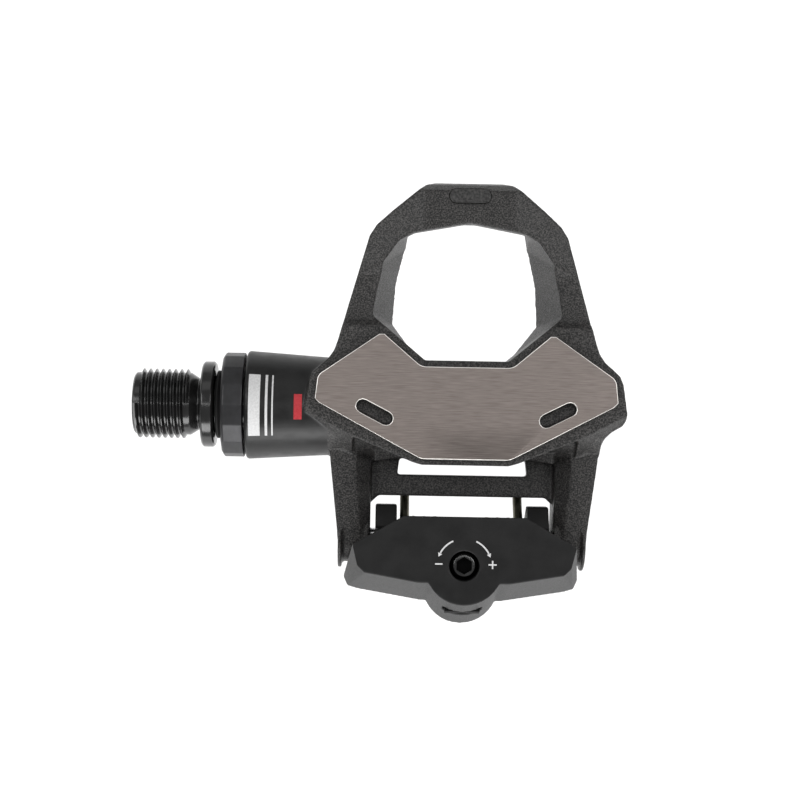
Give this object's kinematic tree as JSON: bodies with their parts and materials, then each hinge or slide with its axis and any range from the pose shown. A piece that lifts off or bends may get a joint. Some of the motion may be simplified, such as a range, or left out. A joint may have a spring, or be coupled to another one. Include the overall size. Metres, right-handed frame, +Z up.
{
  "type": "clipless pedal",
  "caption": "Right-hand clipless road pedal: moulded body with a steel cleat plate, threaded spindle on bearings, and a sprung rear jaw with a tension screw.",
  "frame": {"origin": "on the spindle's axis, at the crank face of the spindle's collar", "axes": "+X outboard along the spindle, +Y to the pedal's nose, +Z up, out of the cleat plate"},
  "size_m": [0.0988, 0.0888, 0.026],
  "materials": {
    "composite": "grained black moulded composite",
    "jaw_plastic": "fine matte black moulded plastic",
    "insert_plastic": "smooth black plastic",
    "indicator_plastic": "smooth off-white plastic",
    "brushed_plate": "brushed across the pedal, bright bevelled edges",
    "black_steel": "glossy black coated steel",
    "black_aluminium": "satin black anodised aluminium",
    "bearing_steel": "ground bright steel",
    "spring_steel": "drawn wire, yellow passivated",
    "cage_brass": "stamped brass",
    "seal_rubber": "matte black rubber"
  },
  "bodies": {
    "spindle": {"spindle": "black_steel", "inner_ring_a": "bearing_steel", "inner_ring_b": "bearing_steel", "end_washer": "bearing_steel", "end_nut": "bearing_steel"},
    "pedal_body": {"body_frame": "composite", "wear_plate": "brushed_plate", "nose_insert": "insert_plastic", "jaw_pin": "bearing_steel", "spring_inboard": "spring_steel", "spring_outboard": "spring_steel", "lock_nut": "black_aluminium", "axle_sleeve": "black_aluminium", "lip_seal": "seal_rubber", "needle_cup": "bearing_steel", "outer_ring_a": "bearing_steel", "outer_ring_b": "bearing_steel"},
    "needle_rollers": {"needle_cage": "bearing_steel"},
    "ball_row_a": {"ball_cage_a": "cage_brass"},
    "ball_row_b": {"ball_cage_b": "cage_brass"},
    "rear_jaw": {"jaw_body": "jaw_plastic", "indicator_window": "insert_plastic"},
    "tension_screw": {"tension_screw": "black_steel"},
    "tension_nut": {"tension_nut": "bearing_steel", "tension_flag": "indicator_plastic"}
  },
  "joints": [
    {"name": "body_spin", "type": "hinge", "parent": "spindle", "child": "pedal_body", "pos_m": [0.053, 0, 0], "axis": [1, 0, 0], "continuous": true},
    {"name": "needle_roll", "type": "hinge", "parent": "spindle", "child": "needle_rollers", "pos_m": [0.023, 0, 0], "axis": [1, 0, 0], "continuous": true},
    {"name": "ball_roll_a", "type": "hinge", "parent": "spindle", "child": "ball_row_a", "pos_m": [0.0568, 0, 0], "axis": [1, 0, 0], "continuous": true},
    {"name": "ball_roll_b", "type": "hinge", "parent": "spindle", "child": "ball_row_b", "pos_m": [0.0621, 0, 0], "axis": [1, 0, 0], "continuous": true},
    {"name": "jaw_open", "type": "hinge", "parent": "pedal_body", "child": "rear_jaw", "pos_m": [0.053, -0.0265, -0.003], "axis": [1, 0, 0], "range_deg": [0, 24], "stiffness_Nm_per_rad": 6, "springref_deg": -28.65, "deforming": ["spring_inboard", "spring_outboard"]},
    {"name": "tension_turn", "type": "hinge", "parent": "rear_jaw", "child": "tension_screw", "pos_m": [0.053, -0.03065, 0.007], "axis": [0, 0, 1], "range_deg": [0, 1260]},
    {"name": "nut_travel", "type": "slide", "parent": "rear_jaw", "child": "tension_nut", "axis": [0, 0, 1], "range_m": [0, 0.00245]}
  ],
  "couplings": [
    {"joint": "needle_roll", "follows": "body_spin", "ratio": 0.54},
    {"joint": "ball_roll_a", "follows": "body_spin", "ratio": 0.6},
    {"joint": "ball_roll_b", "follows": "body_spin", "ratio": 0.6},
    {"joint": "tension_turn", "follows": "nut_travel", "rad_per_m": 8976}
  ]
}
